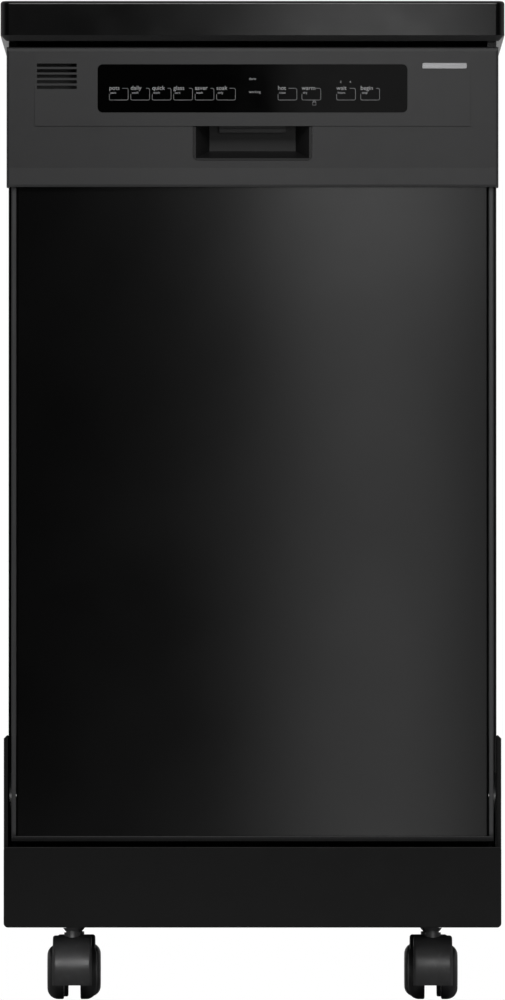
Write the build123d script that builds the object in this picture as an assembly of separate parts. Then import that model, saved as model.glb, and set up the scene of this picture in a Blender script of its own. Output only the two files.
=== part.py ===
from build123d import *
import math
import os

# Portable dishwasher of the slim 450 mm class, on four twin-wheel casters, with a drop-down door.
# Frame: origin on the floor under the middle of the machine, +X to its right as seen from the back
# (to the viewer's right from the front), +Y towards the back, +Z up. The front faces -Y.
# Units are millimetres. Each function builds one node; every node is written to parts/NODE.step.

# ---------------------------------------------------------------- driving dimensions
OVERALL_W = 456.0         # worktop, side to side
OVERALL_D = 610.0         # worktop, front to back
OVERALL_H = 903.0         # floor to worktop surface
WORKTOP_T = 36.0          # worktop edge height
WHEEL_R = 25.0            # caster wheels
CABINET_W = OVERALL_W - 14.0       # over the two side panels
BASE_W = OVERALL_W - 6.0           # over the moulded base and toe kick
CASTER_TOP_Z = 2 * WHEEL_R + 7.8   # top of the casters' hoods
BASE_Z = CASTER_TOP_Z + 7.2        # underside of the base
BASE_CORNER_R = 4.0       # lower corners of the base and toe kick
SKIRT_TOP_Z = BASE_Z + 174.0       # top of the base's side wings
KICK_TOP_Z = BASE_Z + 73.0         # top of the toe kick
CONSOLE_W = OVERALL_W - 11.0
CONSOLE_H = 126.5
CONSOLE_Z = OVERALL_H - WORKTOP_T - 5.5 - CONSOLE_H     # lower edge of the console
DOOR_W = OVERALL_W - 20.0          # over the door's side trims
DOOR_Z = KICK_TOP_Z + 4.6          # lower edge of the door
TUB_W = OVERALL_W - 50.0           # inside the tub
TUB_D = OVERALL_D - 115.0
TUB_TOP_Z = OVERALL_H - 63.0
TUB_FLOOR_Z = BASE_Z + 125.0
LEDGE_Z = TUB_FLOOR_Z + 16.0       # side ledges on which the lower rack's wheels run
LIP_Z = TUB_FLOOR_Z + 10.0         # front lip of the tub

# Sheet and wall thicknesses
SHEET = 0.8               # painted cabinet sheet
STEEL = 1.0               # tub and inner door sheet
MOULD = 2.5               # moulded walls
BASE_WALL = 4.0           # base moulding
FIT = 0.3                 # gap between neighbouring pieces that don't bear on each other
RUN = 0.06                # radial clearance of a turning fit

# Depth stations of the front
FRONT_Y = -OVERALL_D / 2
BACK_Y = OVERALL_D / 2
CONSOLE_Y = FRONT_Y + 5.0          # face of the console's upper panel
KICK_Y = FRONT_Y + 5.0             # face of the toe kick
PANEL_Y = FRONT_Y + 13.0           # face of the painted door panel
TRIM_Y = PANEL_Y - 1.5             # face of the door's side trims
LINER_Y = PANEL_Y + 46.0           # rim of the inner door
LINER_RAISE = 16.0                 # how far the inner door's middle stands into the tub
FLANGE_Y = LINER_Y + 5.0           # front face of the tub's flange
FLANGE_TOP_Z = TUB_TOP_Z + 18.0    # top of the flange and of the inner door's rim
STRIKE_Z = TUB_TOP_Z + 9.5         # underside of the latch's tongue
STRIKE_SLOT_Z = (STRIKE_Z - 2.0, STRIKE_Z + 5.0)
REAR_Y = BACK_Y - 15.0             # outside of the back panel

# Door hinge line
HINGE_Y = PANEL_Y + 30.0
HINGE_Z = DOOR_Z + 29.4
HINGE_PIN_R = 5.0
HINGE_ARM_X = (TUB_W / 2 + 6.5, TUB_W / 2 + 9.0)          # span of a hinge arm, each side
BRACKET_X = (TUB_W / 2 + 11.4, TUB_W / 2 + 14.4)          # span of a hinge bracket, each side

# Screws through the base's side wings, set into counterbores
SIDE_SCREW_Y, SIDE_SCREW_Z = (FRONT_Y + 105.0, BACK_Y - 65.0), SKIRT_TOP_Z - 24.0
SCREW_HEAD_R, SCREW_HEAD_H = 3.6, 2.0

# Casters
CASTER_X = BASE_W / 2 - 61.5
CASTER_Y = OVERALL_D / 2 - 63.0
CASTER_TRAIL = 12.0                # stem axis to wheel axle
HOOD_W = 35.0
CASTER_STEM_R = 5.5
AXLE_R = 3.0
WHEEL_X = (7.5, 22.5)              # span of one caster wheel from the caster's middle

# Console face
WINDOW_W, WINDOW_H, WINDOW_R = 280.0, 43.4, 4.5
WINDOW_Z = CONSOLE_Z + 89.0
WINDOW_INSET = 1.0
PAD_W, PAD_H, PAD_R = 17.8, 11.4, 1.5
PAD_Z = WINDOW_Z - 5.2
PAD_GAP = 0.15
PAD_TRAVEL = 0.6
PAD_X = [-121.0, -101.6, -82.2, -62.8, -43.4, -24.0, 31.6, 53.2, 84.6, 106.4]
VENT_SLOTS, VENT_W, VENT_SLOT_H, VENT_PITCH = 5, 36.0, 3.1, 5.0
UPPER_PANEL_W, UPPER_PANEL_Z = CONSOLE_W - 51.0, CONSOLE_Z + 55.0
VENT_X, VENT_Z = 20.0 - UPPER_PANEL_W / 2, WINDOW_Z + 11.0
POCKET_W, POCKET_Z, POCKET_TOP_Z = 108.0, CONSOLE_Z + 23.6, UPPER_PANEL_Z
POCKET_DEPTH = 25.0
PADDLE_W = 60.0
PADDLE_AXIS = (CONSOLE_Y + 17.0, POCKET_TOP_Z + 8.0)      # y, z of the latch paddle's pivot

# Racks
WIRE_R = 1.8
RACK_Y = (FLANGE_Y + 38.0, FLANGE_Y + TUB_D - 39.0)
RACK_WHEEL_R = 15.0
LOWER_RACK_W, LOWER_FLOOR_Z = TUB_W - 50.0, LEDGE_Z + RACK_WHEEL_R + 21.0
LOWER_RACK_TOP = LOWER_FLOOR_Z + 103.0
UPPER_RACK_W, UPPER_FLOOR_Z, UPPER_RACK_TOP = TUB_W - 42.0, TUB_TOP_Z - 308.0, TUB_TOP_Z - 200.0
RACK_WHEEL_X = (TUB_W / 2 - 19.0, TUB_W / 2 - 9.0)
RACK_WHEEL_Y = (RACK_Y[0] + 83.0, RACK_Y[1] - 85.0)
ROLLER_R = 10.0
ROLLER_X = (TUB_W / 2 - 11.5, TUB_W / 2 - 1.5)
ROLLER_Y = (RACK_Y[0] + 13.0, RACK_Y[0] + 93.0)
ROLLER_Z = TUB_TOP_Z - 250.0
RAIL_Y = (RACK_Y[0] - 4.0, RACK_Y[1] + 17.0)

# Sump and spray arms
SUMP_X, SUMP_Y, SUMP_R, SUMP_Z = 0.0, 20.0, 62.0, TUB_FLOOR_Z - 78.0
LOWER_ARM_Z = TUB_FLOOR_Z + 21.0
LOWER_ARM_R = 172.0
UPPER_ARM_Y, UPPER_ARM_Z, UPPER_ARM_R = 5.0, UPPER_FLOOR_Z - 50.0, 165.0
MANIFOLD_Z = UPPER_FLOOR_Z - 20.0
ARM_PIN_R = 8.0

# Detergent dispenser on the inner door
DISPENSER_X, DISPENSER_Z = 0.0, 474.0
DISPENSER_W, DISPENSER_H = 168.0, 112.0
LID_X, LID_Z, LID_W, LID_H = -32.0, 471.0, 78.0, 62.0
LID_AXIS = (LINER_Y + LINER_RAISE + 3.2, LID_Z + LID_H / 2 + 0.6)      # y, z of the lid's pin
LID_PIN_R = 1.0
CAP_X, CAP_Z, CAP_R = 48.0, 478.0, 17.0

# Rear recess for hoses and cord
BOX_W, BOX_Z, BOX_D = 260.0, (BASE_Z + 15.0, BASE_Z + 117.0), 88.0
INLET_X, INLET_R = 78.0, 13.2
INLET_COLLAR_R = INLET_R + 3.8
INLET_L = 24.0
DRAIN_X, DRAIN_R = 5.0, 9.0
GLAND_X, GLAND_R = -78.0, 4.2
PORT_Z = BOX_Z[0] + 48.0


# ---------------------------------------------------------------- helpers
def block(x, y, z):
    """A box from its low and high value on each axis."""
    size = [abs(span[1] - span[0]) for span in (x, y, z)]
    middle = [(span[0] + span[1]) / 2 for span in (x, y, z)]
    return Pos(*middle) * Box(*size)


def rod_x(x, y, z, r):
    """A cylinder along X, from x[0] to x[1]."""
    return Pos((x[0] + x[1]) / 2, y, z) * Rot(0, 90, 0) * Cylinder(r, abs(x[1] - x[0]))


def rod_y(x, y, z, r):
    """A cylinder along Y, from y[0] to y[1]."""
    return Pos(x, (y[0] + y[1]) / 2, z) * Rot(90, 0, 0) * Cylinder(r, abs(y[1] - y[0]))


def rod_z(x, y, z, r):
    """A cylinder along Z, from z[0] to z[1]."""
    return Pos(x, y, (z[0] + z[1]) / 2) * Cylinder(r, abs(z[1] - z[0]))


def both(part):
    """A part of the right-hand side and its mirror image on the left."""
    return [part, mirror(part, about=Plane.YZ)]


def side_extrude(points, x):
    """A solid of constant Y-Z outline, from x[0] to x[1]."""
    outline = make_face(Polyline([(y, z) for y, z in points], close=True))
    return extrude(Plane.YZ.offset(x[0]) * outline, x[1] - x[0])


def front_extrude(face, y):
    """A face drawn as x, z and extruded from y[0] back to y[1]."""
    return extrude(Plane.XZ.offset(-y[1]) * face, y[1] - y[0])


def rounded_slab(x, z, y, r):
    """A slab facing the front, of rounded rectangular outline."""
    face = Pos((x[0] + x[1]) / 2, (z[0] + z[1]) / 2) * RectangleRounded(x[1] - x[0], z[1] - z[0], r)
    return front_extrude(face, y)


def round_edges(part, r, axis, low=None, high=None):
    """Fillets the straight edges along an axis whose middle lies between two corners, if they are given."""
    edges = part.edges().filter_by(axis)
    if low is not None:
        edges = ShapeList([e for e in edges if all(a <= c <= b for a, c, b in zip(low, e.center(), high))])
    return fillet(edges, r)


# ---------------------------------------------------------------- worktop
def worktop_edge_trim():
    """Moulded edge around the board: rounded corners, a bevelled foot and a ledge that carries the board."""
    top, bottom = OVERALL_H, OVERALL_H - WORKTOP_T
    edge_w, corner_r, foot, ledge_z = 14.0, 8.0, 5.0, top - 26.0
    outer = extrude(Pos(0, 0, bottom) * RectangleRounded(OVERALL_W, OVERALL_D, corner_r), WORKTOP_T)
    outer = chamfer(outer.faces().sort_by(Axis.Z)[0].edges(), foot)
    outer = fillet(outer.faces().sort_by(Axis.Z)[-1].edges(), 3.0)
    inner_w, inner_d = OVERALL_W - 2 * edge_w, OVERALL_D - 2 * edge_w
    board_space = Pos(0, 0, (ledge_z + top + 1) / 2) * Box(inner_w, inner_d, top + 1 - ledge_z)
    under = Pos(0, 0, bottom) * Box(inner_w - 16, inner_d - 16, 2 * WORKTOP_T)
    return outer - board_space - under


def worktop_board():
    """Laminated board, dropped into the edge trim until it lies on the ledge."""
    edge_w, thickness = 14.0, 25.4
    ledge_z = OVERALL_H - 26.0
    width, depth = OVERALL_W - 2 * edge_w - FIT, OVERALL_D - 2 * edge_w - FIT
    return Pos(0, 0, ledge_z + thickness / 2) * Box(width, depth, thickness)


# ---------------------------------------------------------------- cabinet
def side_panel():
    """Right-hand painted sheet panel, with a return at its front and back edges and a top flange."""
    x1 = CABINET_W / 2
    z = (BASE_Z + BASE_WALL, OVERALL_H - WORKTOP_T)
    y = (HINGE_Y + 4.0, REAR_Y - SHEET)
    return_w, notch_z = 8.0, HINGE_Z + 33.0
    sheet = block((x1 - SHEET, x1), y, z)
    front = block((x1 - return_w, x1), (y[0], y[0] + SHEET), (notch_z, z[1]))
    back = block((x1 - return_w, x1), (y[1] - SHEET, y[1]), (BOX_Z[1] + 6.0, z[1]))
    top = block((x1 - return_w, x1), y, (z[1] - SHEET, z[1]))
    return sheet + front + back + top


def back_panel():
    """Painted sheet over the back, above the hose recess, with two stiffening beads."""
    half = CABINET_W / 2
    z = (BOX_Z[1] + 6.0, OVERALL_H - WORKTOP_T)
    sheet = block((-half, half), (REAR_Y - SHEET, REAR_Y), z)
    bead_h, bead_in = 16.0, 2.0
    for bead_z in (z[0] + 170.0, z[0] + 470.0):
        recess = block((-half + 45, half - 45), (REAR_Y - bead_in, REAR_Y + 1), (bead_z, bead_z + bead_h))
        skin = block((-half + 45 - SHEET, half - 45 + SHEET), (REAR_Y - bead_in - SHEET, REAR_Y),
                     (bead_z - SHEET, bead_z + bead_h + SHEET))
        sheet = sheet + skin - recess
    return sheet


def base_frame():
    """Moulded base: floor, front and rear walls, side wings up the cabinet, ribs and four stem sockets."""
    half, wing_in = BASE_W / 2, CABINET_W / 2 + FIT
    y = (KICK_Y + 10.0, REAR_Y - 1.0)
    floor = block((-half, half), y, (BASE_Z, BASE_Z + BASE_WALL))
    wing = block((wing_in, half), y, (BASE_Z, SKIRT_TOP_Z))
    wing = chamfer(wing.edges().filter_by(Axis.Y).group_by(Axis.Z)[-1].sort_by(Axis.X)[-1], 3.0)
    front_wall = block((-half + 3, half - 3), (y[0], y[0] + BASE_WALL), (BASE_Z, BASE_Z + 55.0))
    rear_wall = block((-half + 3, half - 3), (y[1] - BASE_WALL, y[1]), (BASE_Z, BOX_Z[1] + 5.4))
    rear_wall -= block((-wing_in, wing_in), (y[1] - BASE_WALL - 1, y[1] + 1), (BOX_Z[1] + 3.0, BOX_Z[1] + 18.0))
    side_gap = block((CABINET_W / 2 - SHEET - FIT, wing_in), y, (BASE_Z + BASE_WALL, SKIRT_TOP_Z))
    box_hole = block((-BOX_W / 2 - FIT, BOX_W / 2 + FIT), (y[1] - 10, y[1] + 1),
                     (BOX_Z[0] - FIT, BOX_Z[1] + 10))
    base = floor + front_wall + rear_wall
    for piece in both(side_gap):
        base -= piece
    base -= box_hole
    for y_screw in SIDE_SCREW_Y:
        wing -= rod_x((half - SCREW_HEAD_H - 0.2, half + 1), y_screw, SIDE_SCREW_Z, SCREW_HEAD_R + FIT)
    for piece in both(wing):
        base += piece
    rib = (BASE_Z, BASE_Z + 11.0)
    for rib_y in (-150.0, 150.0):
        base += block((25.0 - half, half - 25.0), (rib_y - 1.5, rib_y + 1.5), rib)
    for x in (-CASTER_X, CASTER_X):
        for caster_y in (-CASTER_Y, CASTER_Y):
            base += rod_z(x, caster_y, (BASE_Z, BASE_Z + 35.0), 11.0)
    for x in (-CASTER_X, CASTER_X):
        for caster_y in (-CASTER_Y, CASTER_Y):
            base -= rod_z(x, caster_y, (BASE_Z - 1, BASE_Z + 36.0), CASTER_STEM_R + RUN)
    return round_edges(base, BASE_CORNER_R, Axis.Y, (-half - 1, -9999, BASE_Z - 1), (half + 1, 9999, BASE_Z + 1))


def toe_kick():
    """Plinth panel in front of the base, with rounded corners and short side returns."""
    half, wall = BASE_W / 2, 3.0
    outline = Pos(0, (BASE_Z + KICK_TOP_Z) / 2) * Rectangle(BASE_W, KICK_TOP_Z - BASE_Z)
    plate = front_extrude(outline, (KICK_Y, KICK_Y + 9.5))
    plate = round_edges(plate, BASE_CORNER_R, Axis.Y, (-half - 1, -9999, BASE_Z - 1), (half + 1, 9999, BASE_Z + 1))
    plate = round_edges(plate, 3.0, Axis.Y, (-half - 1, -9999, KICK_TOP_Z - 1), (half + 1, 9999, KICK_TOP_Z + 1))
    plate = fillet(plate.faces().sort_by(Axis.Y)[0].edges(), 1.2)
    hollow = block((-half + wall, half - wall), (KICK_Y + wall, KICK_Y + 20), (BASE_Z + wall, 9999))
    return plate - hollow


def pan_head():
    """A screw's head standing on the x, y plane, with its cross recess."""
    height, recess = SCREW_HEAD_H, 1.1
    head = rod_z(0, 0, (0, height), SCREW_HEAD_R)
    head = fillet(head.faces().sort_by(Axis.Z)[-1].edges(), 0.8)
    for length, width in ((4.2, 0.9), (0.9, 4.2)):
        head -= block((-length / 2, length / 2), (-width / 2, width / 2), (height - recess, height + 1))
    return head


def cabinet_screws():
    """Pan-head screws: eight hold the back panel, four hold the side wings to the side panels."""
    solids = []
    for x in (-CABINET_W / 2 + 12.0, CABINET_W / 2 - 12.0):
        for z in (BOX_Z[1] + 48.0, ROLLER_Z - 160.0, ROLLER_Z + 40.0, TUB_TOP_Z):
            solids.append(Pos(x, REAR_Y, z) * Rot(-90, 0, 0) * pan_head())
    for y in SIDE_SCREW_Y:
        solids += both(Pos(BASE_W / 2 - SCREW_HEAD_H - 0.2, y, SIDE_SCREW_Z) * Rot(0, 90, 0) * pan_head())
    return Compound(children=solids)


# ---------------------------------------------------------------- tub
def tub_outline(grow=0.0, floor=TUB_FLOOR_Z):
    """Cross-section of the tub's inside as a face in x, z: a low floor between two wheel ledges."""
    half, ledge_in, slope = TUB_W / 2 + grow, TUB_W / 2 - 35.0 + grow * 0.4, 10.0
    low, ledge, top = floor - grow, LEDGE_Z - grow, TUB_TOP_Z + grow
    points = [(-ledge_in + slope, low), (ledge_in - slope, low), (ledge_in, ledge), (half, ledge),
              (half, top), (-half, top), (-half, ledge), (-ledge_in, ledge)]
    face = make_face(Polyline(points, close=True))
    corners = face.vertices().group_by(Axis.Y)
    return fillet(corners[-1], 22.0 + grow)


def tub():
    """Deep-drawn steel tub, open at the front, with a front flange, a sump hole and roller axle pins."""
    y0, y1 = FLANGE_Y + STEEL, FLANGE_Y + TUB_D
    outer = front_extrude(tub_outline(STEEL), (y0, y1 + STEEL))
    inner = front_extrude(tub_outline(), (y0 - 1, y1))
    shell = outer - inner
    flange_half = TUB_W / 2 + 6.0
    plate = block((-flange_half, flange_half), (FLANGE_Y, y0), (TUB_FLOOR_Z - 10.0, FLANGE_TOP_Z))
    mouth = front_extrude(tub_outline(), (FLANGE_Y - 1, y0 + 1))
    mouth &= block((-300, 300), (FLANGE_Y - 2, y0 + 2), (LIP_Z, 9999))
    shell = shell + (plate - mouth)
    shell -= rod_z(SUMP_X, SUMP_Y, (TUB_FLOOR_Z - 20, TUB_FLOOR_Z + 5), SUMP_R)
    for pin_y in ROLLER_Y:
        for pin in both(rod_x((ROLLER_X[0] - 1.0, TUB_W / 2 + 0.5), pin_y, ROLLER_Z, 3.0)):
            shell += pin
    return shell


def door_seal():
    """Soft gasket on the tub's flange, round both sides and the top of the mouth."""
    outer_x, inner_x, foot_z = TUB_W / 2 + 5.0, TUB_W / 2 - 0.5, TUB_FLOOR_Z - 6.0
    depth = (LINER_Y + FIT, FLANGE_Y)
    outer = rounded_slab((-outer_x, outer_x), (foot_z - 60, TUB_TOP_Z + 6.0), depth, 24.0)
    inner = rounded_slab((-inner_x, inner_x), (foot_z - 80, TUB_TOP_Z - 2.0),
                         (depth[0] - 1, depth[1] + 1), 15.0)
    seal = outer - inner - block((-300, 300), (-400, 0), (0, foot_z))
    lip = seal.faces().sort_by(Axis.Y)[0].edges().filter_by(GeomType.LINE)
    return chamfer(lip.filter_by(Axis.Z), 1.4)


def latch_strike():
    """Steel tongue on the tub's flange, above the seal, that the latch in the door closes over."""
    plate = block((-22, 22), (FLANGE_Y - 1.5, FLANGE_Y), (STRIKE_Z - 2.0, FLANGE_TOP_Z))
    tongue = block((-11, 11), (FLANGE_Y - 20, FLANGE_Y - 1.5), (STRIKE_Z, STRIKE_Z + 2.5))
    tongue = round_edges(tongue, 3.0, Axis.Z, (-12, FLANGE_Y - 21, 0), (12, FLANGE_Y - 19, 9999))
    return plate + tongue - block((-6, 6), (FLANGE_Y - 16, FLANGE_Y - 9), (STRIKE_Z - 1, STRIKE_Z + 3))


def hinge_brackets():
    """Fixed plates, one each side: an arm forward to the hinge line, a foot on the base, and the pin."""
    x0, x1 = BRACKET_X
    foot_y = (HINGE_Y + 34.0, HINGE_Y + 62.0)
    plate = block((x0, x1), (HINGE_Y, foot_y[1]), (HINGE_Z - 12, HINGE_Z + 12))
    plate += rod_x((x0, x1), HINGE_Y, HINGE_Z, 12.0)
    plate += block((x0, x1), foot_y, (BASE_Z + BASE_WALL, HINGE_Z + 12))
    plate += block((x0 - 22, x1), foot_y, (BASE_Z + BASE_WALL, BASE_Z + BASE_WALL + 3.0))
    plate += rod_x((HINGE_ARM_X[0] - 0.8, x0), HINGE_Y, HINGE_Z, HINGE_PIN_R)
    return Compound(children=both(plate))


def balance_springs():
    """Door balance springs in the side gaps: a coil, two hooks and the cable towards the hinge arm."""
    x, z = (TUB_W / 2 + CABINET_W / 2 + 0.5) / 2, HINGE_Z + 40.0
    coil_y, coil_r, wire_r = (-196.0, -76.0), 4.6, 0.8
    body = rod_y(x, coil_y, z, coil_r) - rod_y(x, (coil_y[0] + 4, coil_y[1] - 4), z, coil_r - 2 * wire_r)
    for groove in range(15):
        groove_y = coil_y[0] + 6.0 + groove * 7.7
        ring = rod_y(x, (groove_y, groove_y + 1.2), z, coil_r + 1) - rod_y(x, (groove_y, groove_y + 1.2), z,
                                                                           coil_r - 0.7)
        body -= ring
    body += rod_y(x, (HINGE_Y + 16.0, coil_y[0]), z, wire_r)
    body += rod_y(x, (coil_y[1], coil_y[1] + 20), z, wire_r)
    anchor = block((TUB_W / 2 + STEEL, x + 4), (coil_y[1] + 20, coil_y[1] + 24), (z - 8, z + 8))
    return Compound(children=both(body + anchor))


# ---------------------------------------------------------------- wash system
def sump():
    """Moulded sump under the tub, with a clamping rim and the lower spray arm's hollow post."""
    rim_z = TUB_FLOOR_Z - STEEL
    cup = rod_z(SUMP_X, SUMP_Y, (SUMP_Z, rim_z), SUMP_R - 1.0) + rod_z(SUMP_X, SUMP_Y, (rim_z - 4, rim_z),
                                                                     SUMP_R + 10)
    cup -= rod_z(SUMP_X, SUMP_Y, (SUMP_Z + 4, 9999), SUMP_R - 4.5)
    post = rod_z(SUMP_X, SUMP_Y, (SUMP_Z + 2, LOWER_ARM_Z - 1.0), 12.0)
    post += rod_z(SUMP_X, SUMP_Y, (LOWER_ARM_Z - 2.0, LOWER_ARM_Z + 11.5), ARM_PIN_R)
    post -= rod_z(SUMP_X, SUMP_Y, (SUMP_Z + 18, 9999), 5.5)
    return cup + post


def filter_assembly():
    """Flat strainer plate around the post with the upright micro-filter cup and its twist handle."""
    cup_x, cup_y, cup_r = SUMP_X + 33.0, SUMP_Y - 14.0, 18.5
    plate_z = (TUB_FLOOR_Z, TUB_FLOOR_Z + 1.2)
    plate = rod_z(SUMP_X, SUMP_Y, plate_z, SUMP_R + 22)
    plate -= rod_z(SUMP_X, SUMP_Y, (plate_z[0] - 1, plate_z[1] + 1), 12.4)
    rim_z = TUB_FLOOR_Z + 7.0
    cup = rod_z(cup_x, cup_y, (SUMP_Z + 22, rim_z), cup_r)
    cup -= rod_z(cup_x, cup_y, (SUMP_Z + 24, rim_z + 1), cup_r - 1.6)
    grip = block((cup_x - cup_r + 1, cup_x + cup_r - 1), (cup_y - 1.6, cup_y + 1.6), (rim_z - 12, rim_z + 6))
    ring = rod_z(cup_x, cup_y, (plate_z[1], rim_z), cup_r + 3)
    ring -= rod_z(cup_x, cup_y, (plate_z[0], rim_z + 1), cup_r - 1.6)
    hole = rod_z(cup_x, cup_y, (plate_z[0] - 1, plate_z[1] + 1), cup_r - 1.6)
    return plate - hole + cup + ring + grip


def wash_pump():
    """Circulation pump: volute next to the sump, motor with end cap, and its inlet neck."""
    y, z, x0 = SUMP_Y, SUMP_Z + 10.0, -SUMP_R
    neck = rod_x((x0 - 18, x0 + 0.0), y, z, 16.0) - rod_z(SUMP_X, SUMP_Y, (60, 200), SUMP_R - 1.0)
    volute = rod_x((x0 - 46, x0 - 16), y, z, 44.0)
    volute = fillet(volute.edges().filter_by(GeomType.CIRCLE), 5.0)
    motor = rod_x((x0 - 128, x0 - 46), y, z, 36.0)
    motor = fillet(motor.faces().sort_by(Axis.X)[0].edges(), 4.0)
    foot = block((x0 - 120, x0 - 60), (y - 30, y + 30), (BASE_Z + 11.0, z - 30))
    return neck + volute + motor + foot


def drain_pump():
    """Small drain pump on the other side of the sump, with an outlet neck to the rear."""
    y, z, x0 = SUMP_Y, SUMP_Z + 14.0, SUMP_R
    neck = rod_x((x0 - 1.0, x0 + 14), y, z, 12.0) - rod_z(SUMP_X, SUMP_Y, (60, 200), SUMP_R - 1.0)
    head = fillet(rod_x((x0 + 12, x0 + 38), y, z, 27.0).edges().filter_by(GeomType.CIRCLE), 3.0)
    motor = rod_x((x0 + 38, x0 + 86), y, z, 22.0)
    outlet = rod_y(x0 + 25, (y + 20, y + 52), z + 8, 8.0)
    return neck + head + motor + outlet


def inlet_valve():
    """Solenoid inlet valve behind the hose recess, its threaded port reaching into the recess."""
    wall_y = REAR_Y - BOX_D
    body = block((INLET_X - 18, INLET_X + 18), (wall_y - 44, wall_y), (PORT_Z - 20, PORT_Z + 24))
    body = round_edges(body, 4.0, Axis.Y)
    coil = rod_z(INLET_X, wall_y - 24, (PORT_Z + 24, PORT_Z + 46), 14.0)
    collar_y = wall_y + MOULD + 1.5
    port = rod_y(INLET_X, (wall_y, collar_y), PORT_Z, INLET_COLLAR_R)
    port += rod_y(INLET_X, (collar_y, collar_y + INLET_L), PORT_Z, INLET_R)
    port -= rod_y(INLET_X, (wall_y + 2, collar_y + INLET_L + 1), PORT_Z, INLET_R - 4.2)
    return body + coil + port


def rear_hose_box():
    """Recess in the back that stores the hoses and cord: five walls, drain spigot and cord gland."""
    half, wall = BOX_W / 2, MOULD
    y0 = REAR_Y - BOX_D
    box = block((-half, half), (y0, REAR_Y), BOX_Z)
    box = round_edges(box, 8.0, Axis.Y)
    hollow = block((-half + wall, half - wall), (y0 + wall, REAR_Y + 1), (BOX_Z[0] + wall, BOX_Z[1] - wall))
    box -= round_edges(hollow, 6.0, Axis.Y)
    box -= rod_y(INLET_X, (y0 - 1, y0 + wall + 1), PORT_Z, INLET_COLLAR_R + FIT)
    spigot = rod_y(DRAIN_X, (y0 + wall, y0 + 36), PORT_Z, DRAIN_R)
    box += spigot + rod_y(DRAIN_X, (y0 + wall, y0 + 7), PORT_Z, DRAIN_R + 4)
    box -= rod_y(DRAIN_X, (y0 - 1, y0 + 40), PORT_Z, 6.0)
    box += rod_y(GLAND_X, (y0 + wall, y0 + 14), PORT_Z, GLAND_R + 5)
    return box - rod_y(GLAND_X, (y0 - 1, y0 + 15), PORT_Z, GLAND_R)


def spray_feed_pipe():
    """Flat riser up the tub's back wall, with a nozzle that feeds the upper rack's manifold."""
    back = FLANGE_Y + TUB_D
    riser = block((-19, 19), (back - 16, back - 2), (TUB_FLOOR_Z + 1.5, MANIFOLD_Z + 22))
    riser = round_edges(riser, 5.0, Axis.Z)
    foot = block((-19, 19), (back - 46, back - 2), (TUB_FLOOR_Z, TUB_FLOOR_Z + 12))
    foot = round_edges(foot, 4.0, Axis.Z)
    nozzle = rod_y(0, (back - 30, back - 14), MANIFOLD_Z, 13.0)
    nozzle -= rod_y(0, (back - 31, back - 18), MANIFOLD_Z, 9.0)
    return riser + foot + nozzle


def heater_element():
    """Tubular heater lying above the tub floor, its two ends turned down onto the floor."""
    z, r, x, y0, y1 = TUB_FLOOR_Z + 10.0, 3.2, 128.0, SUMP_Y - 130.0, SUMP_Y + 148.0
    path = FilletPolyline((30, y1 - 6, TUB_FLOOR_Z), (30, y1 - 6, z), (x, y1 - 6, z), (x, y0, z), (-x, y0, z),
                          (-x, y1 - 6, z), (-30, y1 - 6, z), (-30, y1 - 6, TUB_FLOOR_Z), radius=[5, 30, 30, 30, 30, 5])
    start = Plane(origin=path @ 0, z_dir=path % 0)
    return sweep(start * Circle(r), path=path)


def spray_arm(reach, hub_r, bore):
    """A two-winged arm along X, bored from below to a given depth, with a row of jet holes."""
    height, root, tip = 9.0, 24.0, 15.0
    half = reach - tip / 2
    wing = make_hull(Circle(root / 2).edges() + (Pos(half, 0) * Circle(tip / 2)).edges())
    outline = wing + mirror(wing, about=Plane.YZ)
    arm = extrude(outline, height)
    arm = fillet(arm.faces().sort_by(Axis.Z)[-1].edges(), 2.5)
    arm += Cylinder(hub_r, 15.0, align=(Align.CENTER, Align.CENTER, Align.MIN))
    for jet in range(4):
        for side in (-1, 1):
            jet_x = side * (reach * 0.32 + jet * reach * 0.19)
            arm -= Pos(jet_x, 0, height / 2 + 2) * Box(4.0, 1.6, height)
    return arm - Cylinder(ARM_PIN_R + RUN, bore, align=(Align.CENTER, Align.CENTER, Align.MIN))


def lower_spray_arm():
    """Arm under the lower rack, turning on the sump's post."""
    return Pos(SUMP_X, SUMP_Y, LOWER_ARM_Z) * spray_arm(LOWER_ARM_R, 15.0, 12.5)


def upper_spray_arm():
    """Arm under the upper rack, bored through for the manifold's pin."""
    return Pos(0, UPPER_ARM_Y, UPPER_ARM_Z) * spray_arm(UPPER_ARM_R, 13.0, 20.0)


# ---------------------------------------------------------------- racks
def fuse(pieces):
    """One solid from pieces that cross each other."""
    whole = pieces[0]
    return whole.fuse(*pieces[1:])


def lattice(width, height, columns, rows):
    """A flat wire panel in its own x, y plane, its wires' middles filling width by height."""
    wires = []
    for i in range(columns):
        x = i * width / (columns - 1)
        wires.append(rod_y(x, (-WIRE_R, height + WIRE_R), 0, WIRE_R))
    for j in range(rows):
        y = j * height / (rows - 1)
        wires.append(rod_x((-WIRE_R, width + WIRE_R), y, 0, WIRE_R))
    return fuse(wires)


def basket(width, y, floor_z, top_z, columns, rows):
    """Five wire panels that touch along their edges: a floor and four walls."""
    half, gap = width / 2, 2 * WIRE_R
    depth, wall_h = y[1] - y[0], top_z - floor_z - gap
    floor = Pos(-half, y[0], floor_z) * lattice(width, depth, columns, rows)
    flat_wall = lattice(width, wall_h, columns, 3)
    front = Pos(-half, y[0], floor_z + gap) * Rot(90, 0, 0) * flat_wall
    back = Pos(-half, y[1], floor_z + gap) * Rot(90, 0, 0) * flat_wall
    side_depth = depth - 2 * gap
    flat_side = lattice(side_depth, wall_h, rows, 3)
    sides = [Pos(x, y[0] + gap, floor_z + gap) * Rot(0, 0, 90) * Rot(90, 0, 0) * flat_side
             for x in (-half, half)]
    return [floor, front, back, *sides]


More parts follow.
